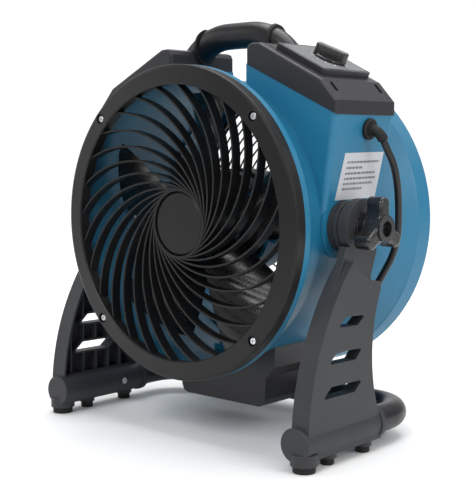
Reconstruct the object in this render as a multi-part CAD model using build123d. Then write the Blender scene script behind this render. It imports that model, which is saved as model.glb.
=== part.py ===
from build123d import *
import math
import os

# Axial air mover: a round blower drum hung between two legs, with a carry handle on top.
# Millimetres. Floor at Z = 0, the drum's axis along Y at X = 0, the outlet grille facing -Y.

# The drum and its openings
axis_height = 262.0
grille_radius = 190.0
opening_radius = 166.0
grille_front = -122.5
grille_band = 17.5
drum_radius = 174.5
drum_wall = 4.0
drum_front = grille_front + grille_band
drum_rear = 58.5
bell_radius = 200.0
bell_rear = 137.5
wall = 3.2

# The shoulders, their caps and the handle
shoulder_front = -57.5
shoulder_rear = 58.5
shoulder_inner = 62.0
shoulder_outer = 195.0
shoulder_low = 270.0
shoulder_low_x = 177.5
seam_inner_z = 452.7
seam_outer_z = 391.5
cap_edge = 1.0
handle_radius = 16.5
handle_bend = 80.0
handle_bend_x = 18.6
handle_bend_z = 413.0
handle_y = 2.5
handle_sweep = 66.0

# The stand
pivot_y = -22.0
pivot_z = 263.0
boss_radius = 38.0
boss_face = 179.0
pad_radius = 30.0
pad_face = 199.0
arm_inner = 199.3
arm_face = 209.0
leg_outer = 217.0
leg_inner = 193.0
leg_skin = 3.2
foot_x = 205.0
foot_places = [(-124.5, 13.0), (-82.5, 8.0), (-14.5, 8.5)]
socket_x = 201.0
socket_z = 31.0
socket_radius = 19.5
socket_front = -137.5
sole = 14.0
rail_radius = 16.5
rail_rear = 90.0
rail_bend = 50.0

# The clamp knobs
stud_radius = 5.0
knob_face = 241.0
knob_reach = 36.0
knob_arm = 9.0

# The running gear
blade_count = 5
blade_tip = 162.0
fan_hub_radius = 46.0
fan_front = -84.0
fan_back = -34.0
shaft_radius = 6.0
motor_radius = 62.0
motor_front = -28.0
motor_rear = 47.0
vane_count = 28
vane_arc = 136.4
vane_centre = 96.0
vane_tip_angle = 140.0
grille_screw_angles = [45, 135, 225, 315]
grille_screw_radius = 179.2
guard_screw_radius = 185.8
strap_x = 70.5
strap_y = 7.0

# The mains lead
cord_radius = 4.3

fan_axis = Axis((0, 0, axis_height), (0, 1, 0))
side_lean = (shoulder_outer - shoulder_low_x) / (seam_outer_z - shoulder_low)
parts = {}


def add(name, shapes):
    """Keep a node: one solid, or a group of separate solids that share the node."""
    shapes = shapes if isinstance(shapes, list) else [shapes]
    solids = [solid for shape in shapes for solid in shape.solids()]
    parts[name] = solids[0] if len(solids) == 1 else Compound(solids)
    parts[name].label = name


def turned(*edges):
    """Revolve a closed outline of (radius, y) edges about the fan axis."""
    outline = Pos(0, 0, axis_height) * make_face(Curve() + list(edges))
    return revolve(outline, fan_axis, 360)


def turned_points(*points):
    return turned(Polyline(*points, close=True))


def front_plane(y, x=0.0, z=axis_height):
    """A plane facing the front: local x runs along X and local y along Z."""
    return Plane(origin=(x, y, z), x_dir=(1, 0, 0), z_dir=(0, -1, 0))


def side_plane(x):
    """A plane facing +X: local x runs along Y and local y along Z."""
    return Plane(origin=(x, 0, 0), x_dir=(0, 1, 0), z_dir=(1, 0, 0))


def rod(start, end, radius, bore=0.0):
    run = Vector(*end) - Vector(*start)
    base = Plane(origin=start, z_dir=run.normalized())
    upright = (Align.CENTER, Align.CENTER, Align.MIN)
    solid = base * Cylinder(radius, run.length, align=upright)
    if bore > 0:
        solid -= base * Cylinder(bore, run.length, align=upright)
    return solid


def along_y(radius, y_from, y_to, x=0.0, z=axis_height, bore=0.0):
    return rod((x, y_from, z), (x, y_to, z), radius, bore)


def along_x(radius, x_from, x_to, y=pivot_y, z=pivot_z, bore=0.0):
    return rod((x_from, y, z), (x_to, y, z), radius, bore)


def block(low, high):
    size = [top - bottom for bottom, top in zip(low, high)]
    return Pos(*low) * Box(*size, align=(Align.MIN, Align.MIN, Align.MIN))


def plate_xz(points, y_from, y_to):
    """Extrude a polygon of (x, z) points from one y to another."""
    face = front_plane(y_from, z=0) * make_face(Polyline(*points, close=True))
    return extrude(face, y_to - y_from, dir=(0, 1, 0))


def other_side(shape):
    return mirror(shape, Plane.YZ)


def around(radius, angle, y):
    """A point about the fan axis; the angle runs from +X towards +Z."""
    turn = math.radians(angle)
    return (radius * math.cos(turn), y, axis_height + radius * math.sin(turn))


def spun(shape, angle):
    """Turn a shape about the fan axis, from +X towards +Z."""
    return shape.rotate(fan_axis, -angle)


# --- Outlet grille -----------------------------------------------------------------
def vane_crossing(radius):
    """The angle on the vane's own circle at which it crosses a radius of the grille."""
    square = vane_centre**2 + vane_arc**2 - radius**2
    return math.acos(square / (2 * vane_centre * vane_arc))


def vane_outline(root, tip, thickness):
    first = vane_crossing(root)
    last = vane_crossing(tip)

    def point(angle, radius):
        return (radius * math.cos(angle) - vane_centre, radius * math.sin(angle))

    outside = vane_arc + thickness / 2
    inside = vane_arc - thickness / 2
    middle = (first + last) / 2
    return [
        ThreePointArc(point(first, outside), point(middle, outside), point(last, outside)),
        Line(point(last, outside), point(last, inside)),
        ThreePointArc(point(last, inside), point(middle, inside), point(first, inside)),
        Line(point(first, inside), point(first, outside)),
    ]


def make_grille():
    root = 41.0
    tip = opening_radius + 1.6
    ring = turned_points(
        (grille_radius, drum_front),
        (grille_radius, grille_front + 5.0),
        (grille_radius - 1.2, grille_front + 3.2),
        (grille_radius - 4.0, grille_front + 2.0),
        (opening_radius + 1.5, grille_front),
        (opening_radius, grille_front + 1.5),
        (opening_radius + 1.0, drum_front - 2.0),
        (opening_radius + 4.0, drum_front - 2.0),
        (opening_radius + 3.5, grille_front + 4.0),
        (grille_radius - 5.0, grille_front + 5.5),
        (grille_radius - 3.0, drum_front),
    )
    hub = turned_points(
        (39.2, grille_front + 11.0),
        (42.5, grille_front + 11.0),
        (42.5, grille_front + 26.0),
        (0, grille_front + 26.0),
        (0, grille_front + 23.0),
        (39.2, grille_front + 23.0),
    )
    flat = make_face(Curve() + vane_outline(root, tip, 2.2))
    vane = extrude(front_plane(grille_front) * flat, 30, dir=(0, 1, 0))
    dish = turned_points(
        (root - 2, grille_front + 12.0),
        (tip + 2, grille_front + 3.0),
        (tip + 2, grille_front + 16.0),
        (root - 2, grille_front + 25.0),
    )
    end_x = vane_arc * math.cos(vane_crossing(tip)) - vane_centre
    end_z = vane_arc * math.sin(vane_crossing(tip))
    tip_angle = math.degrees(math.atan2(end_z, end_x))
    vane = spun(vane & dish, vane_tip_angle - tip_angle)
    vanes = [spun(vane, step * 360 / vane_count) for step in range(vane_count)]
    grille = ring + hub + vanes
    for angle in grille_screw_angles:
        boss_top = around(grille_screw_radius, angle, grille_front + 1.0)
        boss_end = around(grille_screw_radius, angle, drum_front)
        recess_end = around(grille_screw_radius, angle, grille_front + 5.0)
        grille += rod(boss_top, boss_end, 8.0) - rod(boss_top, boss_end, 2.4)
        grille -= rod(around(grille_screw_radius, angle, grille_front - 2), recess_end, 6.0)
        grille -= rod(recess_end, boss_end, 2.4)
    return grille


def pan_screw(head_point, tip_point, head_radius, shank_radius, head_height):
    """A pan-head screw whose head sits in front of head_point, with a cross recess."""
    run = (Vector(*tip_point) - Vector(*head_point)).normalized()
    base = Plane(origin=head_point, z_dir=-run)
    upright = (Align.CENTER, Align.CENTER, Align.MIN)
    head = base * Cylinder(head_radius, head_height, align=upright)
    head = fillet(head.edges().sort_by(Axis(head_point, tuple(-run)))[-1:], head_height * 0.45)
    slot = base * Pos(0, 0, head_height * 0.5) * Box(head_radius, 1.0, head_height, align=upright)
    cross = base * Pos(0, 0, head_height * 0.5) * Box(1.0, head_radius, head_height, align=upright)
    return head + rod(head_point, tip_point, shank_radius) - slot - cross


def make_grille_screws():
    screws = []
    for angle in grille_screw_angles:
        seat = around(grille_screw_radius, angle, grille_front + 5.0)
        tip = around(grille_screw_radius, angle, drum_front + 12.0)
        screws.append(pan_screw(seat, tip, 4.3, 2.0, 2.8))
    return screws


def make_hub_cap():
    cap = turned_points(
        (0, grille_front + 12.2),
        (36.0, grille_front + 12.2),
        (38.2, grille_front + 13.6),
        (38.2, grille_front + 22.9),
        (35.7, grille_front + 22.9),
        (35.7, grille_front + 15.0),
        (0, grille_front + 15.0),
    )
    return cap


# --- Drum, shoulders and bell ---------------------------------------------------------
def seam_z(x):
    """Height of the sloping seam between a shoulder and its cap."""
    share = (x - shoulder_inner) / (shoulder_outer - shoulder_inner)
    return seam_inner_z + share * (seam_outer_z - seam_inner_z)


def shoulder_block(inset, rise):
    top = seam_outer_z + rise
    points = [
        (shoulder_inner + inset, 380),
        (shoulder_inner + inset, seam_z(shoulder_inner + inset) + rise),
        (shoulder_low_x - inset + side_lean * (top - shoulder_low), top),
        (shoulder_low_x - inset, shoulder_low + inset),
        (140, shoulder_low + inset),
    ]
    solid = plate_xz(points, shoulder_front + inset, shoulder_rear - inset)
    corners = [edge for edge in solid.edges() if edge.center().X > 182 and edge.length > 90
               and abs(edge.center().Y) > 50]
    return fillet(corners, 7 - inset)


def drum_shell():
    sleeve = drum_radius - drum_wall
    return turned(
        Line((sleeve, drum_front), (sleeve + 2.5, drum_front)),
        Line((sleeve + 2.5, drum_front), (sleeve + 2.5, -66)),
        ThreePointArc((sleeve + 2.5, -66), (176.0, -82), (grille_radius - wall, -94.5)),
        Line((grille_radius - wall, -94.5), (grille_radius - wall, drum_front)),
        Line((grille_radius - wall, drum_front), (grille_radius, drum_front)),
        Line((grille_radius, drum_front), (grille_radius, -96)),
        Line((grille_radius, -96), (grille_radius - 1.2, -94.8)),
        ThreePointArc((grille_radius - 1.2, -94.8), (179.8, -79), (drum_radius, -57.5)),
        Line((drum_radius, -57.5), (drum_radius, drum_rear)),
        Line((drum_radius, drum_rear), (sleeve, drum_rear)),
        Line((sleeve, drum_rear), (sleeve, drum_front)),
    )


def handle_path():
    turn = math.radians(handle_sweep)
    half = math.radians(handle_sweep / 2)

    def bend(angle):
        return (
            handle_bend_x + handle_bend * math.sin(angle),
            handle_y,
            handle_bend_z + handle_bend * math.cos(angle),
        )

    def flip(point):
        return (-point[0], point[1], point[2])

    right = ThreePointArc(bend(0), bend(half), bend(turn))
    left = ThreePointArc(flip(bend(turn)), flip(bend(half)), flip(bend(0)))
    top = Line(flip(bend(0)), bend(0))
    return Curve() + [left, top, right]


def handle_solid(radius):
    path = Wire(handle_path().edges())
    return sweep(Plane(origin=path @ 0, z_dir=path % 0) * Circle(radius), path)


def pivot_boss():
    """The drum's round seat for the pivot hub, cut to the drum's own curve afterwards."""
    rim = along_x(boss_radius, 150, boss_face) - along_x(boss_radius - wall, 150, boss_face - 3)
    return rim + along_x(12, 150, boss_face)


def make_front_housing():
    sleeve = drum_radius - drum_wall
    airway = along_y(sleeve + 0.5, drum_front - 5, bell_rear)
    drum_body = along_y(drum_radius - 1.5, drum_front, drum_rear + 10)
    right = shoulder_block(0, 0) - shoulder_block(wall, 30)
    right += pivot_boss()
    cradle = block((70, handle_y - 22, 400), (112, handle_y + 22, 444))
    right += cradle & shoulder_block(1, -1)
    right -= drum_body
    shell = drum_shell()
    for angle in grille_screw_angles:
        near = around(grille_screw_radius, angle, drum_front)
        far = around(grille_screw_radius, angle, drum_front + 18)
        shell += rod(near, far, 5.4) - along_y(sleeve + 1, drum_front - 1, 0)
    housing = shell + right + other_side(right)
    for angle in grille_screw_angles:
        near = around(grille_screw_radius, angle, drum_front - 1)
        far = around(grille_screw_radius, angle, drum_front + 14)
        housing -= rod(near, far, 2.0)
    housing -= handle_solid(handle_radius + 0.1)
    housing -= along_x(stud_radius, -210, 210)
    housing -= along_x(pad_radius + 0.4, boss_face, 230)
    housing -= along_x(pad_radius + 0.4, -230, -boss_face)
    housing -= rod(gland_point(-12), gland_point(5), 8.1)
    return housing & (along_y(400, -300, 300) - airway)


def side_normal():
    """The outward direction of the leaning side wall, where the lead leaves."""
    return Vector(1, 0, -side_lean).normalized()


def side_point(y, z, out=0.0):
    """A point on the right shoulder's leaning side wall, or a distance out from it."""
    x = shoulder_low_x + side_lean * (z - shoulder_low)
    return Vector(x, y, z) + side_normal() * out


gland_y = 8.5
gland_z = 375.0


def gland_point(out):
    return tuple(side_point(gland_y, gland_z, out))


def guard_screw_holes(radius, depth=14.0):
    """Holes down from the bell's rear face for the four screws that hold the guard."""
    ends = [around(guard_screw_radius, 45 + step * 90, bell_rear - depth) for step in range(4)]
    return [rod((x, bell_rear + 1, z), (x, y, z), radius) for x, y, z in ends]


def make_bell():
    bell = turned_points(
        (drum_radius, drum_rear),
        (195.5, 110),
        (197.2, 113),
        (bell_radius, 134),
        (bell_radius - 0.8, 136.2),
        (bell_radius - 2.5, bell_rear),
        (182, bell_rear),
        (182, bell_rear - wall),
        (196.3, bell_rear - wall),
        (194, 114.5),
        (192.2, 111),
        (171, 60.5),
        (167, 57),
        (167, 45),
        (drum_radius - drum_wall, 45),
        (drum_radius - drum_wall, drum_rear),
    )
    return bell - guard_screw_holes(2.1) - guard_screw_holes(4.4, 2.0)


def make_guard():
    wire = 1.3
    plane_y = bell_rear - wall - 1.6
    rings = []
    for step in range(3, 19):
        path = front_plane(plane_y) * CenterArc((0, 0), step * 10, 0, 360)
        rings.append(sweep(Plane(origin=path @ 0, z_dir=path % 0) * Circle(wire), path))
    spokes = []
    for step in range(8):
        angle = 22.5 + step * 45
        spokes.append(rod(around(22, angle, plane_y - 2.2), around(187.5, angle, plane_y - 2.2), 1.7))
    badge = along_y(30.5, plane_y - 1.5, plane_y + 1.0)
    rim = turned_points((183.0, plane_y - 3.4), (188.5, plane_y - 3.4), (188.5, plane_y + 1.5),
                        (183.0, plane_y + 1.5))
    return badge + rim + rings + spokes - guard_screw_holes(1.8)


def make_guard_screws():
    screws = []
    for step in range(4):
        seat = around(guard_screw_radius, 45 + step * 90, bell_rear - 1.9)
        tip = around(guard_screw_radius, 45 + step * 90, bell_rear - 9)
        screws.append(pan_screw(seat, tip, 4.0, 1.7, 1.9))
    return screws


# --- Motor and fan ----------------------------------------------------------------------
def make_pedestal():
    foot_z = axis_height - (drum_radius - drum_wall)
    post = block((-19, -16, foot_z), (19, 30, axis_height - 40))
    post -= block((-15.8, -12.8, foot_z - 1), (15.8, 26.8, axis_height - 70))
    foot = block((-26, -19, foot_z - 4), (26, 33, foot_z + 9))
    foot -= block((-15.8, -12.8, foot_z - 5), (15.8, 26.8, foot_z + 10))
    saddle = along_y(motor_radius + 5, -16, 30)
    saddle &= block((-100, -20, axis_height - 80), (100, 40, axis_height - 22))
    ear = block((-76, -8, axis_height - 27), (76, 22, axis_height - 22))
    seat = along_y(motor_radius + 0.1, -60, 60)
    inside = along_y(drum_radius - drum_wall, -60, 60)
    return ((post + foot + saddle + ear - seat) & inside) - strap_holes()


def strap_holes():
    low = axis_height - 40
    return [rod((x, strap_y, low), (x, strap_y, axis_height), 2.0) for x in (-strap_x, strap_x)]


def make_strap():
    band = along_y(motor_radius + 3, -4, 18) & block((-90, -8, axis_height - 22), (90, 22, 400))
    ears = block((-76, -4, axis_height - 22), (76, 18, axis_height - 19))
    return band + ears - along_y(motor_radius + 0.1, -60, 60) - strap_holes()


def make_strap_screws():
    screws = []
    for x in (-strap_x, strap_x):
        seat = (x, strap_y, axis_height - 19)
        screws.append(pan_screw(seat, (x, strap_y, axis_height - 30), 4.4, 2.0, 2.6))
    return screws


def make_motor_front():
    return turned_points(
        (16.1, motor_front),
        (58, motor_front),
        (motor_radius, motor_front + 4),
        (motor_radius, 7.0),
        (59, 7.0),
        (59, motor_front + 5),
        (20, motor_front + 3),
        (20, motor_front + 13),
        (16.1, motor_front + 13),
    )


def make_motor_rear():
    return turned_points(
        (16.1, motor_rear - 13),
        (20, motor_rear - 13),
        (20, motor_rear - 3),
        (59, motor_rear - 5),
        (59, 7.0),
        (motor_radius, 7.0),
        (motor_radius, motor_rear - 4),
        (58, motor_rear),
        (0, motor_rear),
        (0, motor_rear - 3),
        (16.1, motor_rear - 3),
    )


def make_stator():
    core = along_y(58.9, -10, 26) - along_y(35.2, -10, 26)
    for step in range(12):
        slot = Pos(47, 8, axis_height) * Box(12, 40, 6.5)
        core -= spun(slot, step * 30)
    return core


def make_windings():
    ends = [along_y(54, -19, -10, bore=37.5), along_y(54, 26, 33, bore=37.5)]
    return ends


def bearing(y_from, y_to):
    """A ball bearing: two races and the balls between them, as separate solids."""
    inner = along_y(8.6, y_from, y_to, bore=shaft_radius)
    outer = along_y(16.0, y_from, y_to, bore=13.4)
    middle = (y_from + y_to) / 2
    balls = [Pos(*around(11.0, step * 45, middle)) * Sphere(2.36) for step in range(8)]
    return [inner, outer] + balls


def make_shaft():
    shaft = along_y(shaft_radius - 0.02, fan_front - 6, motor_rear - 3.5)
    flat = block((-10, fan_front - 7, axis_height + 4.6), (10, -50, axis_height + 10))
    return shaft - flat


def make_rotor_core():
    return along_y(34.6, -10, 26, bore=shaft_radius)


def blade_section(radius, chord, pitch, camber):
    """A blade's cross-section at a radius, leaning back by the pitch angle."""
    turn = math.radians(pitch)
    middle = (fan_front + fan_back) / 2
    plane = Plane(origin=(radius, middle, axis_height), x_dir=(0, math.sin(turn), math.cos(turn)),
                  z_dir=(1, 0, 0))
    half = chord / 2
    thick = 1.3
    outline = Curve() + [
        ThreePointArc((-half, -thick / 2), (0, camber + thick), (half, -thick / 2)),
        Line((half, -thick / 2), (half, -thick)),
        ThreePointArc((half, -thick), (0, camber - thick), (-half, -thick)),
        Line((-half, -thick), (-half, -thick / 2)),
    ]
    return plane * make_face(outline)


def make_fan():
    hub = turned_points(
        (shaft_radius, fan_front + 4),
        (30, fan_front + 4),
        (42, fan_front + 9),
        (fan_hub_radius, fan_front + 18),
        (fan_hub_radius, fan_back),
        (fan_hub_radius - 3, fan_back),
        (fan_hub_radius - 3, fan_front + 18),
        (14, fan_front + 12),
        (14, fan_back - 6),
        (shaft_radius, fan_back - 6),
    )
    blade = loft([
        blade_section(fan_hub_radius - 2, 52, 46, 4),
        blade_section(100, 86, 32, 7),
        blade_section(blade_tip - 4, 112, 23, 8),
    ])
    blade &= along_y(blade_tip, fan_front - 20, fan_back + 20)
    blades = [spun(blade, 90 + step * 360 / blade_count) for step in range(blade_count)]
    fan = hub + blades
    return fan


def make_fan_nut():
    face = Plane(origin=(0, fan_front - 3, axis_height), x_dir=(1, 0, 0), z_dir=(0, -1, 0))
    nut = extrude(face * RegularPolygon(9.5, 6), -7)
    return nut - along_y(shaft_radius, fan_front - 10, fan_front + 10)


# --- Caps, control panel and handle ---------------------------------------------------
slope_low = Vector(174.5, 0, 430.5)
slope_high = Vector(81.5, 0, 476.5)
slope_run = slope_low - slope_high
slope_plane = Plane(origin=slope_high, x_dir=slope_run.normalized(),
                    z_dir=slope_run.normalized().cross(Vector(0, 1, 0)))
plateau = (14.0, 92.0)
plateau_y = (-43.0, 50.0)
plateau_rise = 7.0
knob_slope = 58.0
knob_y = 6.0


def cap_block(inset, drop):
    points = [
        (shoulder_inner + inset, seam_z(shoulder_inner + inset) - drop),
        (shoulder_inner + inset, 470.0 - inset),
        (shoulder_inner + 2.4 + inset * 0.7, 475.0 - inset),
        (shoulder_inner + 8 + inset * 0.3, 477.0 - inset),
        (slope_high.X, slope_high.Z - inset),
        (slope_low.X - inset * 0.65, slope_low.Z - inset * 1.1),
        (shoulder_outer + cap_edge - inset, 407.0 - inset * 0.5),
        (shoulder_outer + cap_edge - inset, seam_z(shoulder_outer + cap_edge - inset) - drop),
    ]
    out = cap_edge - inset
    solid = plate_xz(points, shoulder_front - out, shoulder_rear + out)
    middle = (shoulder_front + shoulder_rear) / 2
    ends = [edge for edge in solid.edges() if abs(edge.center().Y - middle) > 50
            and edge.center().Z > seam_z(edge.center().X) + 4 - drop]
    return fillet(ends, 4 - inset)


def slope_box(x_from, x_to, y_from, y_to, z_from, z_to, round_off=0.0):
    """A box laid on the cap's slope: x runs down the slope and z stands out of it."""
    box = Pos(x_from, y_from, z_from) * Box(x_to - x_from, y_to - y_from, z_to - z_from,
                                           align=(Align.MIN, Align.MIN, Align.MIN))
    if round_off > 0:
        box = fillet(box.edges().filter_by(Axis.Z), round_off)
    return slope_plane * box


def cap_slots():
    """The two deep screw wells on the cap's outer chamfer."""
    start = Vector(slope_low.X, 0, slope_low.Z)
    run = (Vector(shoulder_outer + cap_edge, 0, 407.0) - start).normalized()
    outward = run.cross(Vector(0, 1, 0))
    wells = []
    for y in (-44.0, 44.0):
        centre = start + run * 10.5 + Vector(0, y, 0)
        face = Plane(origin=centre + outward * 2, x_dir=run, z_dir=outward) * SlotOverall(15, 6)
        wells.append(extrude(face, -14))
    return wells


def make_cap(with_panel):
    cap = cap_block(0, 0)
    cap += slope_box(plateau[0], plateau[1], *plateau_y, -6, plateau_rise, 4)
    hollow = cap_block(wall, 30)
    hollow += slope_box(plateau[0] + 3, plateau[1] - 3, plateau_y[0] + 3, plateau_y[1] - 3,
                        -8, plateau_rise - 3, 2)
    cap -= hollow
    cap -= cap_slots()
    groove = slope_box(plateau[0] - 6, plateau[1] + 2, plateau_y[0] - 4.5, plateau_y[0] - 2.5,
                       -1.2, 4)
    cap -= groove
    if with_panel:
        cap -= slope_box(plateau[0] + 4, plateau[1] - 4, plateau_y[0] + 4, plateau_y[1] - 4,
                         plateau_rise - 1.0, plateau_rise + 3, 3)
        cap -= slope_plane * Pos(knob_slope, knob_y, 0) * Cylinder(6, 40)
    cap -= handle_solid(handle_radius + 0.6)
    return cap


def make_panel():
    plate = slope_box(plateau[0] + 4.2, plateau[1] - 4.2, plateau_y[0] + 4.2, plateau_y[1] - 4.2,
                      plateau_rise - 1.0, plateau_rise + 0.3, 3)
    return plate - slope_plane * Pos(knob_slope, knob_y, 0) * Cylinder(6, 40)


def make_speed_knob():
    place = slope_plane * Pos(knob_slope, knob_y, plateau_rise + 0.8)
    upright = (Align.CENTER, Align.CENTER, Align.MIN)
    disc = Cylinder(17.5, 3.0, align=upright)
    disc = chamfer(disc.edges().sort_by(Axis.Z)[-1:], 1.2)
    bar = Box(41, 12.5, 14.5, align=upright)
    bar = fillet(bar.edges().filter_by(Axis.Z), 5.0)
    bar = fillet(bar.edges().sort_by(Axis.Z)[-8:], 2.5)
    stem = Pos(0, 0, -16) * Cylinder(3.0, 17, align=upright)
    return place * (disc + bar.rotate(Axis.Z, 25) + stem)


def make_switch():
    place = slope_plane * Pos(knob_slope, knob_y, plateau_rise - 3.4)
    body = Pos(0, 0, -24) * Box(34, 34, 24, align=(Align.CENTER, Align.CENTER, Align.MIN))
    return place * (body - Cylinder(3.06, 60))


def make_collars():
    sleeve = handle_solid(handle_radius + 3.2) - handle_solid(handle_radius + 0.02)
    collar = sleeve & block((58.2, -30, 440), (61.8, 35, 520))
    collar = collar.solids()[0]
    return [collar, other_side(collar)]


# --- Lead gland, label and under-box -----------------------------------------------------
boot_radius = 6.2
lead_out = Vector(0.20, 0.36, -0.91).normalized()
boot_knee = Vector(*gland_point(16))
boot_end = boot_knee + lead_out * 11


def boot_path():
    """The moulded strain relief's line: straight out of the gland, then bent down."""
    line = FilletPolyline(Vector(*gland_point(4)), boot_knee, boot_end, radius=15)
    return Wire(line.edges())


def make_gland():
    flange = rod(gland_point(0.05), gland_point(5), 12.5)
    flange = fillet(flange.edges().sort_by(Axis(gland_point(0), tuple(side_normal())))[-1:], 2.0)
    boot = boot_path()
    neck = rod(gland_point(4), gland_point(7), 8.0)
    neck += sweep(Plane(origin=boot @ 0, z_dir=boot % 0) * Circle(boot_radius), boot)
    body = rod(gland_point(-12), gland_point(0.05), 8.0)
    nut = rod(gland_point(-9), gland_point(-3.4), 11.0)
    return flange + neck + body + nut


label_corners = [(-40.0, 293.5), (39.0, 294.5), (46.0, 348.5), (-31.0, 347.5)]


def make_label():
    points = [side_point(y, z, 0.02) for y, z in label_corners]
    face = make_face(Polyline(*points, close=True))
    return extrude(face, 0.35, dir=tuple(side_normal()))


box_front = -32.5
box_rear = 38.0
box_floor = 33.0


def under_box_block(inset, top):
    low = box_floor + inset
    half = [
        (62 - inset, low),
        (68 - inset, low + 3),
        (71 - inset, low + 9),
        (73 - inset, 71 - inset * 0.3),
        (86 - inset, 85 + inset * 0.2),
        (88 - inset, top),
    ]
    points = half + [(-x, z) for x, z in reversed(half)]
    solid = plate_xz(points, box_front + inset, box_rear - inset)
    rear_low = [edge for edge in solid.edges() if edge.center().Z < box_floor + inset + 1
                and edge.center().Y > box_rear - inset - 1]
    return chamfer(rear_low, 13)


def make_under_box():
    box = under_box_block(0, 130) - under_box_block(3, 131)
    box -= block((-39, box_rear - 4, 53), (39, box_rear + 1, 77))
    box -= block((-52, box_rear - 1.5, 50), (52, box_rear + 1, 80))
    for x in (-46, 46):
        box += rod((x, box_rear - 12, 65), (x, box_rear - 1.5, 65), 4.5)
        box -= rod((x, box_rear - 12, 65), (x, box_rear + 1, 65), 1.6)
    return box - along_y(drum_radius, -100, 100)


def make_box_cover():
    plate = block((-51.7, box_rear - 1.5, 50.3), (51.7, box_rear, 79.7))
    for x in (-46, 46):
        plate -= rod((x, box_rear - 5, 65), (x, box_rear + 1, 65), 1.8)
    return plate


def make_box_screws():
    return [pan_screw((x, box_rear, 65), (x, box_rear - 11, 65), 3.6, 1.6, 2.2) for x in (-46, 46)]


def make_capacitor():
    return along_x(15, -36, 22, y=0, z=box_floor + 18.3)


# --- Pivots and clamp knobs ---------------------------------------------------------------
def make_hub():
    """The black spacer hub between the drum's boss and the leg."""
    steps = [(pad_radius, boss_face, 184.5), (pad_radius - 2, 184.5, 186.5),
             (pad_radius, 186.5, 192), (pad_radius - 2, 192, 194), (pad_radius, 194, pad_face)]
    hub = [along_x(radius, x_from, x_to) for radius, x_from, x_to in steps]
    return hub[0] + hub[1:] - along_x(stud_radius + 0.05, 150, 220)


def make_stud():
    head = rod((164, pivot_y, pivot_z), (170.5, pivot_y, pivot_z), 8.5)
    return head + along_x(stud_radius, 170, 232)


def knob_outline():
    """Three rounded arms joined by hollow flanks, in the knob's own plane."""
    arms = [90, 210, 330]
    reach = knob_reach - knob_arm

    def tip(angle, offset):
        turn = math.radians(angle + offset)
        centre = math.radians(angle)
        return (reach * math.cos(centre) + knob_arm * math.cos(turn),
                reach * math.sin(centre) + knob_arm * math.sin(turn))

    def waist(angle):
        turn = math.radians(angle)
        return (14.5 * math.cos(turn), 14.5 * math.sin(turn))

    edges = []
    for step, angle in enumerate(arms):
        after = arms[(step + 1) % 3]
        edges.append(ThreePointArc(tip(angle, -80), tip(angle, 0), tip(angle, 80)))
        edges.append(ThreePointArc(tip(angle, 80), waist(angle + 60), tip(after, -80)))
    return make_face(Curve() + edges)


def make_knob():
    base = Plane(origin=(arm_face + 3.0, pivot_y, pivot_z), x_dir=(0, 1, 0), z_dir=(1, 0, 0))
    upright = (Align.CENTER, Align.CENTER, Align.MIN)
    star = extrude(knob_outline(), 20)
    star = fillet(star.edges().sort_by(Axis.Z)[-6:], 3.5)
    knob = Cylinder(17, 8, align=upright) + Pos(0, 0, 7) * star
    knob += Cylinder(15.5, knob_face - arm_face - 3, align=upright)
    knob -= Pos(0, 0, 21) * Cylinder(9.0, 30, align=upright)
    knob -= Cylinder(stud_radius + 0.05, 50)
    return base * knob


def make_washer():
    return along_x(14, arm_face + 0.4, arm_face + 2.6, bore=stud_radius + 0.05)


# --- Stand ---------------------------------------------------------------------------------
leg_front = [(-132.5, 26.0), (-116.7, 120.3), (-50.9, 227.0)]
leg_rear = [(2.4, 191.7), (-13.5, 112.0), (6.0, 34.0)]
slot_corners = [
    [(-80.9, 155.5), (-65.1, 166.0), (-27.5, 164.5), (-43.0, 154.0)],
    [(-96.7, 116.0), (-82.3, 128.0), (-33.3, 127.0), (-46.0, 115.0)],
    [(-107.5, 78.5), (-91.5, 91.0), (-32.5, 90.0), (-47.3, 78.0)],
]


def leg_outline():
    return [
        ThreePointArc(*leg_front),
        ThreePointArc(leg_front[2], (-28.5, 208.5), (0.5, 200.0)),
        Line((0.5, 200.0), leg_rear[0]),
        ThreePointArc(*leg_rear),
        Line(leg_rear[2], (6.0, sole)),
        Line((6.0, sole), (-112.0, sole)),
        ThreePointArc((-112.0, sole), (-127.0, 17.5), leg_front[0]),
    ]


def leg_face():
    return make_face(Curve() + leg_outline())


def on_side(face, x_from, x_to):
    return extrude(side_plane(x_from) * face, x_to - x_from, dir=(1, 0, 0))


def arm_face_outline():
    front = [(-94.0, 166.0), (-78.0, 195.0), (-62.0, 226.0), (-55.0, 243.0)]
    rear = [(5.0, 237.0), (-6.5, 207.0), (-14.0, 180.0)]
    arm = make_face(Polyline(*front, *rear, close=True))
    return arm + Pos(pivot_y, pivot_z) * Circle(33.0)


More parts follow.
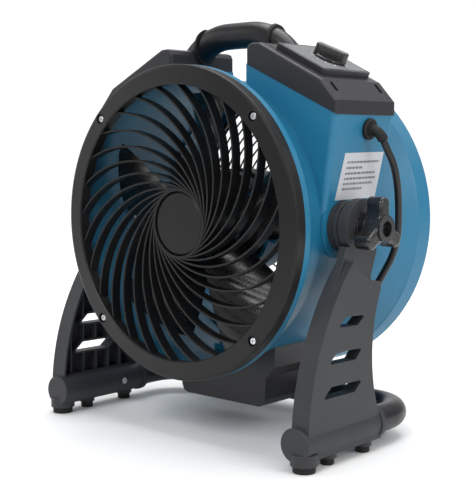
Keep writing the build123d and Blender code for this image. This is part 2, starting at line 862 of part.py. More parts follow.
def make_leg():
    outer = leg_face()
    inner = offset(outer, -leg_skin, kind=Kind.INTERSECTION)
    leg = on_side(outer, leg_inner, leg_outer) - on_side(inner, leg_inner - 1, leg_outer - leg_skin)
    cells = on_side(inner, leg_inner + 8, leg_outer - leg_skin)
    for y in range(-112, -10, 22):
        rib = block((leg_inner, y - 1, 50), (leg_outer, y + 1, 230))
        leg += rib & cells
    for corners in slot_corners:
        slot = make_face(Polyline(*corners, close=True))
        slot = fillet(slot.vertices(), 2.0)
        collar = on_side(offset(slot, 2.4), leg_inner + 8, leg_outer - 1)
        leg += collar & on_side(outer, leg_inner, leg_outer)
        leg -= on_side(slot, leg_inner - 1, leg_outer + 1)
    leg += on_side(arm_face_outline(), arm_inner, arm_face)
    socket = along_y(socket_radius, socket_front, 10, socket_x, socket_z)
    socket = fillet(socket.edges().sort_by(Axis.Y)[:1], 1.5)
    leg += socket + along_y(socket_radius + 1.6, 3, 10, socket_x, socket_z)
    for y, radius in foot_places:
        leg += rod((foot_x, y, sole - 6), (foot_x, y, socket_z - 10), radius + 2.5)
    for y, radius in foot_places:
        leg -= rod((foot_x, y, 0), (foot_x, y, 12), radius - 3.9)
    bore = along_y(rail_radius + 0.05, -60, 20, socket_x, socket_z)
    bore += along_y(socket_radius - 4.5, socket_front + 4, -59, socket_x, socket_z)
    leg -= bore
    leg -= along_x(stud_radius + 0.25, 190, 230)
    return leg - rail_screw_hole(2.1)


def make_feet():
    feet = []
    for y, radius in foot_places:
        foot = rod((foot_x, y, 0), (foot_x, y, 8), radius)
        foot = fillet(foot.edges().sort_by(Axis.Z)[:1], 1.5)
        stem = rod((foot_x, y, 8), (foot_x, y, 12), radius - 4)
        feet.append(foot + stem)
    return feet + [other_side(foot) for foot in feet]


def rail_path():
    back = rail_rear - rail_bend
    diagonal = rail_bend * math.sin(math.radians(45))
    corner_x = socket_x - rail_bend

    def bend(side):
        return [
            (side * socket_x, back, socket_z),
            (side * (corner_x + diagonal), back + diagonal, socket_z),
            (side * corner_x, rail_rear, socket_z),
        ]

    right = bend(1)
    left = bend(-1)
    return Wire([
        Line((socket_x, -58, socket_z), right[0]),
        ThreePointArc(*right),
        Line(right[2], left[2]),
        ThreePointArc(*reversed(left)),
        Line(left[0], (-socket_x, -58, socket_z)),
    ])


def make_rail():
    path = rail_path()
    outside = sweep(Plane(origin=path @ 0, z_dir=path % 0) * Circle(rail_radius), path)
    bore = sweep(Plane(origin=path @ 0, z_dir=path % 0) * Circle(rail_radius - 2), path)
    hole = rail_screw_hole(2.0)
    return outside - bore - hole - other_side(hole)


def make_rail_feet():
    feet = []
    for x in (-112, 112):
        block_low = (x - 11, rail_rear - 12, 0)
        foot = block(block_low, (x + 11, rail_rear + 12, socket_z - 6))
        foot = fillet(foot.edges().filter_by(Axis.Z), 5)
        feet.append(foot - along_x(rail_radius, x - 20, x + 20, y=rail_rear, z=socket_z))
    return feet


def rail_screw_hole(radius):
    """The hole that pins the rail in the right-hand leg's socket, from its inner side."""
    return rod((socket_x - 30, -35, socket_z), (socket_x - 8, -35, socket_z), radius)


def make_rail_screws():
    screws = []
    for side in (-1, 1):
        seat = (side * (socket_x - socket_radius), -35, socket_z)
        tip = (side * (socket_x - rail_radius + 4), -35, socket_z)
        screws.append(pan_screw(seat, tip, 4.0, 2.0, 2.4))
    return screws


# --- Mains lead ----------------------------------------------------------------------------
lead_route = [
    tuple(boot_end),
    tuple(boot_end + lead_out * 12),
    (216.0, 25.5, 337.0),
    (216.0, 33.0, 319.0),
    (214.0, 40.5, 298.0),
    (211.0, 46.5, 274.0),
    (207.5, 51.0, 249.0),
    (202.5, 48.5, 225.0),
    (196.0, 37.0, 203.0),
    (190.0, 25.0, 182.0),
    (186.0, 17.5, 158.0),
    (184.0, 14.5, 130.0),
    (183.0, 15.0, 100.0),
    (180.0, 20.0, 72.0),
    (174.5, 31.5, 44.0),
    (167.5, 49.0, 19.0),
    (160.0, 72.0, 4.7),
    (140.0, 108.0, 4.7),
    (104.0, 136.0, 4.7),
    (62.0, 151.0, 4.7),
    (18.0, 155.0, 4.7),
    (-28.0, 151.0, 4.7),
    (-74.0, 142.0, 4.7),
    (-115.0, 135.5, 4.7),
    (-146.0, 135.2, 4.7),
]
coil_centre = (-150.0, 195.0)
coil_mean = 51.0
coil_inside = coil_mean - cord_radius * 2 - 0.4
coil_outside = coil_mean + cord_radius * 2 + 0.4
coil_height = 28.4
coil_lift = 1.2


def corner_radii(route):
    radii = []
    for before, here, after in zip(route, route[1:], route[2:]):
        arriving = Vector(*here) - Vector(*before)
        leaving = Vector(*after) - Vector(*here)
        turn = math.radians(arriving.get_angle(leaving))
        shorter = min(arriving.length, leaving.length)
        radii.append(0.45 * shorter / math.tan(turn / 2))
    return radii


def make_lead():
    path = FilletPolyline(*lead_route, radius=corner_radii(lead_route))
    wire = Wire(path.edges())
    lead = sweep(Plane(origin=wire @ 0, z_dir=wire % 0) * Circle(cord_radius), wire)
    print("lead radii", [round(radius, 1) for radius in corner_radii(lead_route)])
    print("lead length", round(wire.length, 1), "volume ratio",
          round(lead.volume / (math.pi * cord_radius**2 * wire.length), 4))
    return lead


def make_coil():
    x, y = coil_centre
    upright = (Align.CENTER, Align.CENTER, Align.MIN)
    coil = Pos(x, y, coil_lift) * (Cylinder(coil_outside, coil_height, align=upright)
                             - Cylinder(coil_inside, coil_height, align=upright))
    return fillet(coil.edges(), 4.0)


def make_tie():
    x, y = coil_centre
    outside = Box(coil_outside - coil_inside + 4.2, 16, coil_height + 2.2)
    inside = Box(coil_outside - coil_inside + 2.2, 20, coil_height + 0.2)
    band = fillet(outside.edges().filter_by(Axis.Y), 5) - fillet(inside.edges().filter_by(Axis.Y), 3.5)
    return Pos(x - coil_mean, y, coil_height / 2 + coil_lift) * band


def plug_frame():
    """The plug lies on the floor outside the coil with its blades pointing along +X."""
    x, y = coil_centre
    return Pos(x + 27, y + coil_mean + 24, 13) * Rot(0, 0, 180)


def make_plug():
    body = Pos(-20, 0, 0) * Box(34, 25, 24)
    body = fillet(body.edges(), 4)
    neck = Pos(-3, 0, 0) * (Rot(0, 90, 0) * Cone(9, 6.5, 30, align=(Align.CENTER, Align.CENTER, Align.MIN)))
    return plug_frame() * (body + neck - Rot(0, 90, 0) * Cylinder(cord_radius, 80))


def make_prongs():
    blades = [Pos(-45.5, side * 6.35, 2) * Box(17, 1.5, 6.4) for side in (-1, 1)]
    earth = Pos(-37, 0, -6) * (Rot(0, -90, 0) * Cylinder(2.4, 20, align=(Align.CENTER, Align.CENTER, Align.MIN)))
    return [plug_frame() * solid for solid in blades + [earth]]


add("front_grille", make_grille())
add("grille_hub_cap", make_hub_cap())
add("grille_screws", make_grille_screws())
add("front_housing", make_front_housing())
add("rear_bell", make_bell())
add("rear_guard", make_guard())
add("guard_screws", make_guard_screws())
add("motor_pedestal", make_pedestal())
add("motor_strap", make_strap())
add("strap_screws", make_strap_screws())
add("motor_front_cover", make_motor_front())
add("motor_rear_cover", make_motor_rear())
add("stator_core", make_stator())
add("stator_windings", make_windings())
add("front_bearing", bearing(motor_front + 3.1, motor_front + 13))
add("rear_bearing", bearing(motor_rear - 13, motor_rear - 3.1))
add("motor_shaft", make_shaft())
add("rotor_core", make_rotor_core())
add("fan_blades", make_fan())
add("fan_nut", make_fan_nut())
add("left_cap", other_side(make_cap(False)))
add("right_cap", make_cap(True))
add("control_panel", make_panel())
add("speed_knob", make_speed_knob())
add("speed_switch", make_switch())
add("handle_tube", handle_solid(handle_radius) - handle_solid(handle_radius - 2.2))
add("handle_collars", make_collars())
add("cord_gland", make_gland())
add("rating_label", make_label())
add("under_box", make_under_box())
add("under_box_cover", make_box_cover())
add("under_box_screws", make_box_screws())
add("run_capacitor", make_capacitor())
add("right_pivot_hub", make_hub())
add("left_pivot_hub", other_side(make_hub()))
add("right_pivot_stud", make_stud())
add("left_pivot_stud", other_side(make_stud()))
add("right_knob", make_knob())
add("left_knob", other_side(make_knob()))
add("right_knob_washer", make_washer())
add("left_knob_washer", other_side(make_washer()))
add("right_leg", make_leg())
add("left_leg", other_side(make_leg()))
add("rubber_feet", make_feet())
add("rear_rail", make_rail())
add("rail_feet", make_rail_feet())
add("rail_screws", make_rail_screws())
add("power_cord", make_lead())
add("cord_coil", make_coil())
add("cord_tie", make_tie())
add("plug_body", make_plug())
add("plug_prongs", make_prongs())

os.makedirs("parts", exist_ok=True)
for name, shape in parts.items():
    export_step(shape, f"parts/{name}.step")
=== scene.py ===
import bpy
import bmesh
import math
import random
from mathutils import Matrix, Vector


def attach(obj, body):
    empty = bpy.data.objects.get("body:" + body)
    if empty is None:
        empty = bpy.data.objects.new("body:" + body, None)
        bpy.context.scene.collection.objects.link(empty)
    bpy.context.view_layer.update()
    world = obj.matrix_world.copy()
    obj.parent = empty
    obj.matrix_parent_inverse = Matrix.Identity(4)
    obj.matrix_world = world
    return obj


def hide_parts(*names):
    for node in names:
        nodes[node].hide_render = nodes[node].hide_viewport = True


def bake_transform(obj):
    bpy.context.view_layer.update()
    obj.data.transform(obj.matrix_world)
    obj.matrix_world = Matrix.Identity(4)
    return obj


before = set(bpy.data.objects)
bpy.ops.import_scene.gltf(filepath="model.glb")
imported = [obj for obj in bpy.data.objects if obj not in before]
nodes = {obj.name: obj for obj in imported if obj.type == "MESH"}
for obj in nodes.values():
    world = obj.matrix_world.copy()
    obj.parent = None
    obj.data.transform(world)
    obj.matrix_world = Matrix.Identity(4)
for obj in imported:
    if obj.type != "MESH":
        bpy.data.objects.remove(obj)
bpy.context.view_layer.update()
print("frame loaded")

# The floor is at z = 0, the grille faces -y, and everything is in metres.
scene = bpy.context.scene


# Camera
cameraSpec = {
    "azimuth": math.radians(41.5), "elevation": math.radians(5.65),
    "place": (0.9313, -1.0547, 0.3612), "lens": 79.34, "sensor": 36, "near": 0.05, "far": 20,
}


def makeCamera(spec):
    azimuth = spec["azimuth"]
    elevation = spec["elevation"]
    back = Vector((
        math.sin(azimuth) * math.cos(elevation),
        -math.cos(azimuth) * math.cos(elevation),
        math.sin(elevation),
    ))
    data = bpy.data.cameras.new("camera")
    data.lens = spec["lens"]
    data.sensor_width = spec["sensor"]
    data.clip_start = spec["near"]
    data.clip_end = spec["far"]
    camera = bpy.data.objects.new("camera", data)
    scene.collection.objects.link(camera)
    camera.location = spec["place"]
    camera.rotation_mode = "QUATERNION"
    camera.rotation_quaternion = back.to_track_quat("Z", "Y")
    scene.camera = camera


makeCamera(cameraSpec)
print("camera placed")


# Material helpers
def newMaterial(name):
    material = bpy.data.materials.new(name)
    material.use_nodes = True
    tree = material.node_tree
    shader = tree.nodes["Principled BSDF"]
    return material, tree, shader


def addNode(tree, kind, **values):
    node = tree.nodes.new(kind)
    for key, value in values.items():
        if key in node.inputs:
            node.inputs[key].default_value = value
        else:
            setattr(node, key, value)
    return node


def noiseAt(tree, coords, scale, detail=3.0, rough=0.5):
    noise = addNode(tree, "ShaderNodeTexNoise", Scale=scale, Detail=detail, Roughness=rough)
    tree.links.new(coords, noise.inputs["Vector"])
    return noise.outputs["Fac"]


def rampOf(tree, factor, stops):
    ramp = tree.nodes.new("ShaderNodeValToRGB")
    elements = ramp.color_ramp.elements
    while len(elements) < len(stops):
        elements.new(0.5)
    for element, (place, colour) in zip(elements, stops):
        element.position = place
        element.color = (*colour, 1) if len(colour) == 3 else colour
    tree.links.new(factor, ramp.inputs["Fac"])
    return ramp.outputs["Color"]


def rangeOf(tree, factor, low, high, fromLow=0.3, fromHigh=0.7):
    node = addNode(tree, "ShaderNodeMapRange")
    node.inputs["From Min"].default_value = fromLow
    node.inputs["From Max"].default_value = fromHigh
    node.inputs["To Min"].default_value = low
    node.inputs["To Max"].default_value = high
    tree.links.new(factor, node.inputs["Value"])
    return node.outputs["Result"]


def mixOf(tree, factor, first, second):
    node = tree.nodes.new("ShaderNodeMix")
    node.data_type = "RGBA"
    if isinstance(factor, float):
        node.inputs[0].default_value = factor
    else:
        tree.links.new(factor, node.inputs[0])
    for socket, value in ((node.inputs[6], first), (node.inputs[7], second)):
        if isinstance(value, tuple):
            socket.default_value = (*value, 1)
        else:
            tree.links.new(value, socket)
    return node.outputs[2]


# Bright where the surface turns sharply: the mask for a painted highlight along edges
def paintedEdgeHighlight(tree, radius, reach=0.25):
    bevel = addNode(tree, "ShaderNodeBevel", Radius=radius, samples=4)
    geometry = tree.nodes.new("ShaderNodeNewGeometry")
    dot = addNode(tree, "ShaderNodeVectorMath", operation="DOT_PRODUCT")
    tree.links.new(bevel.outputs["Normal"], dot.inputs[0])
    tree.links.new(geometry.outputs["Normal"], dot.inputs[1])
    return rangeOf(tree, dot.outputs["Value"], 1.0, 0.0, 1.0 - reach, 1.0)


# Injection-moulded plastic: fine spark-eroded grain, faint flow shading, paler edges as a painted
# highlight
def mouldedPlastic(spec):
    material, tree, shader = newMaterial(spec["name"])
    coords = tree.nodes.new("ShaderNodeTexCoord").outputs["Object"]
    flow = noiseAt(tree, coords, spec.get("flowScale", 9.0), 4.0)
    grain = noiseAt(tree, coords, spec.get("grainScale", 1500.0), 2.0, 0.6)
    speck = noiseAt(tree, coords, spec.get("speckScale", 700.0), 2.0, 0.7)
    base = Vector(spec["colour"])
    dark = tuple(base * spec.get("darker", 0.86))
    light = tuple(base * spec.get("lighter", 1.12))
    body = rampOf(tree, flow, [(0.3, dark), (0.7, light)])
    edge = paintedEdgeHighlight(tree, spec.get("edgeRadius", 0.0011))
    # Painted highlight: a lifted copy of the base colour, mixed in along edges in specks
    edgeHighlightColour = tuple(base * spec.get("edgeHighlightLift", 1.6) + Vector((1, 1, 1)) * spec.get("edgeHighlightAdd", 0.01))
    edgeHighlightAmount = addNode(tree, "ShaderNodeMath", operation="MULTIPLY")
    tree.links.new(edge, edgeHighlightAmount.inputs[0])
    tree.links.new(rangeOf(tree, speck, 0.25, 0.9), edgeHighlightAmount.inputs[1])
    tree.links.new(mixOf(tree, edgeHighlightAmount.outputs[0], body, edgeHighlightColour), shader.inputs["Base Color"])
    rough = spec.get("rough", 0.45)
    tree.links.new(rangeOf(tree, speck, rough - 0.05, rough + 0.07), shader.inputs["Roughness"])
    shader.inputs["Specular IOR Level"].default_value = spec.get("specular", 0.5)
    bump = addNode(tree, "ShaderNodeBump", Strength=spec.get("bump", 0.25),
                   Distance=spec.get("bumpDepth", 0.00012))
    tree.links.new(grain, bump.inputs["Height"])
    rounded = addNode(tree, "ShaderNodeBevel", Radius=spec.get("round", 0.0007), samples=4)
    tree.links.new(rounded.outputs["Normal"], bump.inputs["Normal"])
    tree.links.new(bump.outputs["Normal"], shader.inputs["Normal"])
    if spec.get("coat"):
        shader.inputs["Coat Weight"].default_value = spec["coat"]
        shader.inputs["Coat Roughness"].default_value = spec.get("coatRough", 0.12)
    return material


# Plated or turned metal with fine tool marks and dulled patches
def platedMetal(spec):
    material, tree, shader = newMaterial(spec["name"])
    coords = tree.nodes.new("ShaderNodeTexCoord").outputs["Object"]
    stretch = addNode(tree, "ShaderNodeMapping", Scale=spec.get("stretch", (1, 1, 1)))
    tree.links.new(coords, stretch.inputs["Vector"])
    marks = noiseAt(tree, stretch.outputs["Vector"], spec.get("markScale", 900.0), 3.0, 0.6)
    patch = noiseAt(tree, coords, 60.0, 3.0)
    base = Vector(spec["colour"])
    tree.links.new(rampOf(tree, patch, [(0.3, tuple(base * 0.8)), (0.7, tuple(base * 1.1))]),
                   shader.inputs["Base Color"])
    shader.inputs["Metallic"].default_value = 1.0
    rough = spec.get("rough", 0.3)
    tree.links.new(rangeOf(tree, marks, rough - 0.07, rough + 0.12), shader.inputs["Roughness"])
    bump = addNode(tree, "ShaderNodeBump", Strength=0.2, Distance=0.00008)
    tree.links.new(marks, bump.inputs["Height"])
    tree.links.new(bump.outputs["Normal"], shader.inputs["Normal"])
    return material


def paint(material, *names):
    for name in names:
        piece = nodes[name]
        piece.data.materials.clear()
        piece.data.materials.append(material)


def smooth(piece, angle=35):
    piece.data.shade_smooth()
    with bpy.context.temp_override(object=piece, active_object=piece, selected_objects=[piece],
                                   selected_editable_objects=[piece]):
        bpy.ops.object.shade_smooth_by_angle(angle=math.radians(angle))


# Materials
blueShell = mouldedPlastic({
    "name": "blue_shell", "colour": (0.010, 0.150, 0.270), "rough": 0.42, "bump": 0.16,
    "edgeHighlightLift": 1.35, "edgeHighlightAdd": 0.012, "darker": 0.93, "lighter": 1.06,
})
blackShell = mouldedPlastic({
    "name": "black_shell", "colour": (0.017, 0.017, 0.0195), "rough": 0.42, "bump": 0.35,
    "edgeHighlightLift": 2.2, "edgeHighlightAdd": 0.012, "specular": 0.4,
})
blackGrille = mouldedPlastic({
    "name": "black_grille", "colour": (0.0075, 0.0075, 0.008), "rough": 0.38, "bump": 0.15,
    "edgeHighlightLift": 1.8, "edgeHighlightAdd": 0.006, "specular": 0.28,
})
legBlack = mouldedPlastic({
    "name": "leg_black", "colour": (0.026, 0.027, 0.030), "rough": 0.5, "bump": 0.45,
    "grainScale": 1100.0, "edgeHighlightLift": 2.4, "edgeHighlightAdd": 0.02, "specular": 0.4,
})
glossBlack = mouldedPlastic({
    "name": "gloss_black", "colour": (0.005, 0.005, 0.0055), "rough": 0.26, "bump": 0.06,
    "grainScale": 500.0, "edgeHighlightLift": 1.8, "edgeHighlightAdd": 0.006, "coat": 0.35,
})
panelGrey = mouldedPlastic({
    "name": "panel_grey", "colour": (0.135, 0.138, 0.145), "rough": 0.6, "bump": 0.8,
    "grainScale": 620.0, "speckScale": 420.0, "darker": 0.8, "lighter": 1.3, "bumpDepth": 0.0003,
})
tubeBlack = mouldedPlastic({
    "name": "tube_black", "colour": (0.0075, 0.0075, 0.0085), "rough": 0.33, "bump": 0.25,
    "grainScale": 900.0, "edgeHighlightLift": 1.4, "edgeHighlightAdd": 0.003, "specular": 0.4,
})
wireBlack = mouldedPlastic({
    "name": "wire_black", "colour": (0.012, 0.012, 0.013), "rough": 0.3, "bump": 0.1,
    "edgeHighlightLift": 1.4, "edgeHighlightAdd": 0.003, "round": 0.0003,
})
motorPaint = mouldedPlastic({
    "name": "motor_paint", "colour": (0.018, 0.018, 0.020), "rough": 0.38, "bump": 0.3,
    "grainScale": 420.0, "bumpDepth": 0.0002, "edgeHighlightLift": 2.2, "edgeHighlightAdd": 0.01,
})
rubber = mouldedPlastic({
    "name": "rubber", "colour": (0.009, 0.009, 0.009), "rough": 0.6, "bump": 0.5,
    "grainScale": 800.0, "edgeHighlightLift": 1.5, "edgeHighlightAdd": 0.003, "specular": 0.3,
})
cordJacket = mouldedPlastic({
    "name": "cord_jacket", "colour": (0.006, 0.006, 0.0065), "rough": 0.36, "bump": 0.2,
    "grainScale": 1200.0, "edgeHighlightLift": 1.2, "edgeHighlightAdd": 0.002, "specular": 0.45,
})
zinc = platedMetal({"name": "zinc", "colour": (0.62, 0.63, 0.65), "rough": 0.3})
brass = platedMetal({"name": "brass", "colour": (0.72, 0.52, 0.22), "rough": 0.28,
                     "stretch": (1, 30, 30)})
steelCore = platedMetal({"name": "steel_core", "colour": (0.33, 0.33, 0.34), "rough": 0.42,
                         "stretch": (1, 60, 1), "markScale": 300.0})
copper = platedMetal({"name": "copper", "colour": (0.62, 0.24, 0.10), "rough": 0.34,
                      "stretch": (1, 20, 1), "markScale": 500.0})
paperWhite = mouldedPlastic({
    "name": "paper_white", "colour": (0.50, 0.51, 0.54), "rough": 0.42, "bump": 0.08,
    "darker": 0.96, "lighter": 1.03, "edgeHighlightLift": 1.0, "edgeHighlightAdd": 0.0, "round": 0.0001,
})

paint(blueShell, "front_housing", "rear_bell", "motor_pedestal")
paint(blackGrille, "front_grille", "grille_hub_cap")
paint(blackShell, "left_cap", "right_cap", "under_box", "under_box_cover", "motor_strap")
paint(legBlack, "left_leg", "right_leg", "left_pivot_hub", "right_pivot_hub")
paint(glossBlack, "left_knob", "right_knob", "speed_knob", "fan_blades")
paint(panelGrey, "control_panel")
paint(tubeBlack, "handle_tube", "rear_rail")
paint(wireBlack, "rear_guard", "speed_switch")
paint(motorPaint, "motor_front_cover", "motor_rear_cover", "run_capacitor")
paint(rubber, "rubber_feet", "rail_feet", "handle_collars", "cord_gland", "cord_tie")
paint(zinc, "grille_screws", "guard_screws", "strap_screws", "under_box_screws", "rail_screws",
      "fan_nut", "left_pivot_stud", "right_pivot_stud", "left_knob_washer", "right_knob_washer",
      "front_bearing", "rear_bearing", "motor_shaft")
paint(steelCore, "stator_core", "rotor_core")
paint(copper, "stator_windings")
paint(brass, "plug_prongs")
paint(paperWhite, "rating_label")
paint(cordJacket, "plug_body")
for name in nodes:
    smooth(nodes[name])
print("materials on", len(nodes), "parts")


# Mains lead: the same route points as the tube in the CAD, then five turns of coil
leadRoute = [
    (0.210683, 0.012459, 0.362716),
    (0.213, 0.0168, 0.3519),
    (0.2160, 0.0255, 0.3370),
    (0.2160, 0.0330, 0.3190),
    (0.2140, 0.0405, 0.2980),
    (0.2110, 0.0465, 0.2740),
    (0.2075, 0.0510, 0.2490),
    (0.2025, 0.0485, 0.2250),
    (0.1960, 0.0370, 0.2030),
    (0.1900, 0.0250, 0.1820),
    (0.1860, 0.0175, 0.1580),
    (0.1840, 0.0145, 0.1300),
    (0.1830, 0.0150, 0.1000),
    (0.1800, 0.0200, 0.0720),
    (0.1745, 0.0315, 0.0440),
    (0.1675, 0.0490, 0.0190),
    (0.1600, 0.0720, 0.0047),
    (0.1400, 0.1080, 0.0047),
    (0.1040, 0.1360, 0.0047),
    (0.0620, 0.1510, 0.0047),
    (0.0180, 0.1550, 0.0047),
    (-0.0280, 0.1510, 0.0047),
    (-0.0740, 0.1420, 0.0047),
    (-0.1150, 0.1355, 0.0047),
]
leadSpec = {
    "radius": 0.0043, "sides": 14, "resolution": 8,
    "coilCentre": (-0.150, 0.195), "perTurn": 16, "lastTurn": 21, "easeSteps": 4,
    "blendStart": (0.211, 0.0125, 0.3627), "blendEnd": (0.184, 0.0145, 0.13),
}
coilLanes = [
    (0.0560, 0.0047), (0.0473, 0.0047), (0.0473, 0.0134), (0.0560, 0.0134), (0.0560, 0.0221),
]
plugTail = [
    (-0.1935, 0.2345, 0.0208),
    (-0.1830, 0.2510, 0.0185),
    (-0.1705, 0.2640, 0.0150),
    (-0.1590, 0.2695, 0.0132),
    (-0.150, 0.270, 0.013),
]


# Five turns wound in three layers, each turn easing over to the next
def coilPoints(spec, lanes):
    perTurn = spec["perTurn"]
    easeSteps = spec["easeSteps"]
    lastLane = len(lanes) - 1
    points = []
    for turn, (radius, height) in enumerate(lanes):
        after = lanes[min(turn + 1, lastLane)]
        for step in range(spec["lastTurn"] if turn == lastLane else perTurn):
            ease = 0.0
            if turn < lastLane:
                ease = max(0.0, (step - perTurn + easeSteps) / easeSteps)
                ease = ease * ease * (3 - 2 * ease)
            reach = radius + (after[0] - radius) * ease
            angle = math.radians(-90 - 360 * (step + 1) / perTurn)
            points.append((
                spec["coilCentre"][0] + reach * math.cos(angle),
                spec["coilCentre"][1] + reach * math.sin(angle),
                height + (after[1] - height) * ease,
            ))
    return points


def makeLead(spec):
    points = leadRoute + coilPoints(spec, coilLanes) + plugTail
    curve = bpy.data.curves.new("power_lead_line", "CURVE")
    curve.dimensions = "3D"
    spline = curve.splines.new("NURBS")
    spline.points.add(len(points) - 1)
    for place, point in zip(spline.points, points):
        place.co = (*point, 1)
    spline.order_u = 3
    spline.use_endpoint_u = True
    spline.resolution_u = spec["resolution"]
    line = bpy.data.objects.new("power_lead_line", curve)
    scene.collection.objects.link(line)
    sampled = bpy.data.meshes.new_from_object(line)
    path = [vertex.co.copy() for vertex in sampled.vertices]
    bpy.data.objects.remove(line)
    length = sum((b - a).length for a, b in zip(path, path[1:]))
    print("lead length", round(length, 4), "points", len(path))
    return path, length


# A round tube of one radius along a path
def tubeAlong(name, path, radius, sides):
    mesh = bmesh.new()
    frameUp = Vector((0, 0, 1))
    rings = []
    for index, point in enumerate(path):
        ahead = path[min(index + 1, len(path) - 1)]
        behind = path[max(index - 1, 0)]
        along = (ahead - behind).normalized()
        side = along.cross(frameUp)
        if side.length < 1e-4:
            side = along.cross(Vector((0, 1, 0)))
        side.normalize()
        frameUp = side.cross(along).normalized()
        ring = []
        for step in range(sides):
            turn = 2 * math.pi * step / sides
            ring.append(mesh.verts.new(
                point + side * radius * math.cos(turn) + frameUp * radius * math.sin(turn)))
        rings.append(ring)
    for first, second in zip(rings, rings[1:]):
        for step in range(sides):
            after = (step + 1) % sides
            mesh.faces.new((first[step], first[after], second[after], second[step]))
    mesh.faces.new(list(reversed(rings[0])))
    mesh.faces.new(rings[-1])
    bmesh.ops.recalc_face_normals(mesh, faces=mesh.faces)
    return pieceFrom(mesh, name)


def pieceFrom(mesh, name):
    data = bpy.data.meshes.new(name)
    mesh.to_mesh(data)
    mesh.free()
    piece = bpy.data.objects.new(name, data)
    scene.collection.objects.link(piece)
    for face in data.polygons:
        face.use_smooth = True
    return piece


leadPath, leadLength = makeLead(leadSpec)
lead = tubeAlong("power_lead", leadPath, leadSpec["radius"], leadSpec["sides"])
lead.data.materials.append(cordJacket)
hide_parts("power_cord", "cord_coil")
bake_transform(lead)
print("lead laid")


# Speed dial marks: raised white ticks round the knob, every fifth one longer
dialSpec = {
    "slopeHigh": (0.0815, 0, 0.4765), "slopeLow": (0.1745, 0, 0.4305), "centre": (0.058, 0.006),
    "ticks": 11, "firstAngle": 30, "apart": 30, "longEvery": 5, "near": 0.0196,
    "far": 0.0232, "farLong": 0.0242, "half": 0.0007, "halfLong": 0.0011,
    "bottom": 0.00725, "top": 0.0075,
}


def slopePoint(spec, down, across, out):
    high = Vector(spec["slopeHigh"])
    run = (Vector(spec["slopeLow"]) - high).normalized()
    normal = Vector((-run.z, 0, run.x))
    return high + run * down + Vector((0, across, 0)) + normal * out


# A thin plate on the slope from (down, across) corners
def slopePatch(mesh, spec, corners):
    bottom = [mesh.verts.new(slopePoint(spec, x, y, spec["bottom"])) for x, y in corners]
    top = [mesh.verts.new(slopePoint(spec, x, y, spec["top"])) for x, y in corners]
    mesh.faces.new(top)
    mesh.faces.new(list(reversed(bottom)))
    for i in range(len(corners)):
        j = (i + 1) % len(corners)
        mesh.faces.new((bottom[i], bottom[j], top[j], top[i]))


printWhite = mouldedPlastic({
    "name": "print_white", "colour": (0.62, 0.63, 0.65), "rough": 0.5, "bump": 0.1,
    "edgeHighlightLift": 1.0, "edgeHighlightAdd": 0.0, "round": 0.0001,
})


def makeDialMarks(spec):
    mesh = bmesh.new()
    centreX, centreY = spec["centre"]
    near = spec["near"]
    for step in range(spec["ticks"]):
        angle = math.radians(spec["firstAngle"] + step * spec["apart"])
        along = (math.cos(angle), math.sin(angle))
        across = (-along[1], along[0])
        short = step % spec["longEvery"]
        half = spec["half"] if short else spec["halfLong"]
        far = spec["far"] if short else spec["farLong"]
        corners = [
            (centreX + along[0] * r + across[0] * s, centreY + along[1] * r + across[1] * s)
            for r, s in ((near, -half), (far, -half), (far, half), (near, half))
        ]
        slopePatch(mesh, spec, corners)
    bmesh.ops.recalc_face_normals(mesh, faces=mesh.faces)
    marks = pieceFrom(mesh, "dial_marks")
    marks.data.materials.append(printWhite)
    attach(marks, "fan_housing")


makeDialMarks(dialSpec)


# Rating label: plain grey bars in rows, where a maker prints the data
labelSpec = {
    "corners": [(-0.0400, 0.2935), (0.0390, 0.2945), (0.0460, 0.3485), (-0.0310, 0.3475)],
    "faceLow": (0.1775, 0.270), "faceHigh": (0.195, 0.3915), "film": 0.0004, "ink": 0.00012,
    "rows": [(0.80, 0.10, 0.92), (0.68, 0.10, 0.52), (0.56, 0.10, 0.86), (0.45, 0.10, 0.90),
             (0.34, 0.10, 0.84), (0.23, 0.10, 0.60)],
    "rowHalf": 0.024, "shortest": 0.025, "longest": 0.085, "gap": 0.014, "seed": 4,
}
labelInk = mouldedPlastic({
    "name": "label_ink", "colour": (0.16, 0.17, 0.19), "rough": 0.5, "bump": 0.05,
    "edgeHighlightLift": 1.0, "edgeHighlightAdd": 0.0, "round": 0.0001,
})


def makeLabelBars(spec):
    corners = [Vector(corner) for corner in spec["corners"]]
    lowX, lowZ = spec["faceLow"]
    highX, highZ = spec["faceHigh"]
    lean = (highX - lowX) / (highZ - lowZ)
    normal = Vector((1, 0, -lean)).normalized()

    def onLabel(u, v):
        low = corners[0].lerp(corners[1], u)
        high = corners[3].lerp(corners[2], u)
        y, z = low.lerp(high, v)
        return Vector((lowX + lean * (z - lowZ), y, z)) + normal * (spec["film"] + spec["ink"])

    mesh = bmesh.new()
    source = random.Random(spec["seed"])
    half = spec["rowHalf"]
    for height, first, last in spec["rows"]:
        at = first
        while at < last:
            width = min(source.uniform(spec["shortest"], spec["longest"]), last - at)
            quad = [(at, height - half), (at + width, height - half),
                    (at + width, height + half), (at, height + half)]
            mesh.faces.new([mesh.verts.new(onLabel(u, v)) for u, v in quad])
            at += width + spec["gap"]
    bars = pieceFrom(mesh, "label_bars")
    bars.data.materials.append(labelInk)
    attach(bars, "fan_housing")


makeLabelBars(labelSpec)
print("dial and label marked")


# Floor, with a curved rise far behind that hides the horizon
stageSpec = {
    "front": -5.0, "reach": 3.4, "bend": 1.6, "height": 5.0, "steps": 12, "halfWidth": 7.0,
    "turn": math.radians(41.5), "colour": (0.9, 0.9, 0.9, 1), "rough": 0.8,
}


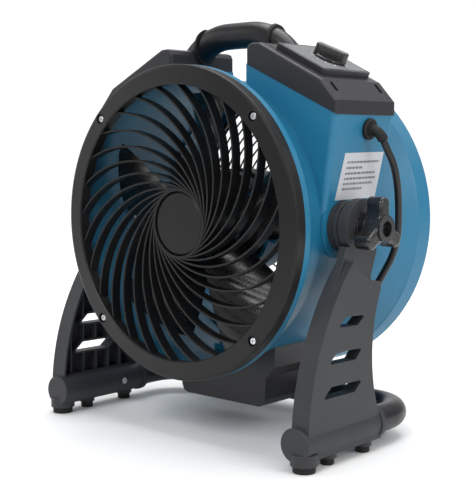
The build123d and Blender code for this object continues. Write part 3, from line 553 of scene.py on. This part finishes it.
def plainFloor(spec):
    mesh = bmesh.new()
    reach, bend, steps = spec["reach"], spec["bend"], spec["steps"]
    profile = [(spec["front"], 0.0), (reach, 0.0)]
    for step in range(1, steps + 1):
        angle = 0.5 * math.pi * step / steps
        profile.append((reach + bend * math.sin(angle), bend * (1 - math.cos(angle))))
    profile.append((reach + bend, spec["height"]))
    turn = Matrix.Rotation(spec["turn"], 3, "Z")
    rows = [
        [mesh.verts.new(turn @ Vector((side, along, up))) for along, up in profile]
        for side in (-spec["halfWidth"], spec["halfWidth"])
    ]
    for index in range(len(profile) - 1):
        mesh.faces.new((rows[0][index], rows[1][index], rows[1][index + 1], rows[0][index + 1]))
    floor = pieceFrom(mesh, "floor")
    material, _, shader = newMaterial("pale_floor")
    shader.inputs["Base Color"].default_value = spec["colour"]
    shader.inputs["Roughness"].default_value = spec["rough"]
    floor.data.materials.append(material)


# Soft lights: name, place, point aimed at, size, power
centre = (0, 0, 0.27)
behind = (-2.6, 2.9, 1.2)
softLights = [
    ("key", (0.7, -2.3, 2.2), centre, (1.5, 1.5), 44),
    ("side", (2.6, 0.1, 1.5), centre, (1.4, 1.8), 30),
    ("fill", (-2.3, -1.3, 1.2), centre, (1.8, 1.8), 10),
    ("top", (0.0, 0.4, 2.6), centre, (2.0, 2.0), 42),
    ("rear", (1.4, 1.8, 2.2), centre, (1.4, 1.2), 7),
    ("backdrop", (-1.0, 1.2, 3.2), behind, (3.0, 1.2), 95),
]
worldSpec = {"colour": (0.95, 0.97, 1.0, 1), "strength": 0.42}


def softLight(name, place, target, size, power):
    data = bpy.data.lights.new(name, "AREA")
    data.shape = "RECTANGLE"
    data.size, data.size_y = size
    data.energy = power
    light = bpy.data.objects.new(name, data)
    scene.collection.objects.link(light)
    light.location = place
    aim = Vector(place) - Vector(target)
    light.rotation_mode = "QUATERNION"
    light.rotation_quaternion = aim.to_track_quat("Z", "Y")


def makeWorld(spec):
    world = bpy.data.worlds.new("studio")
    scene.world = world
    world.use_nodes = True
    background = world.node_tree.nodes["Background"]
    background.inputs["Color"].default_value = spec["colour"]
    background.inputs["Strength"].default_value = spec["strength"]


plainFloor(stageSpec)
for light in softLights:
    softLight(*light)
makeWorld(worldSpec)
scene.view_settings.view_transform = "Standard"
print("stage lit")
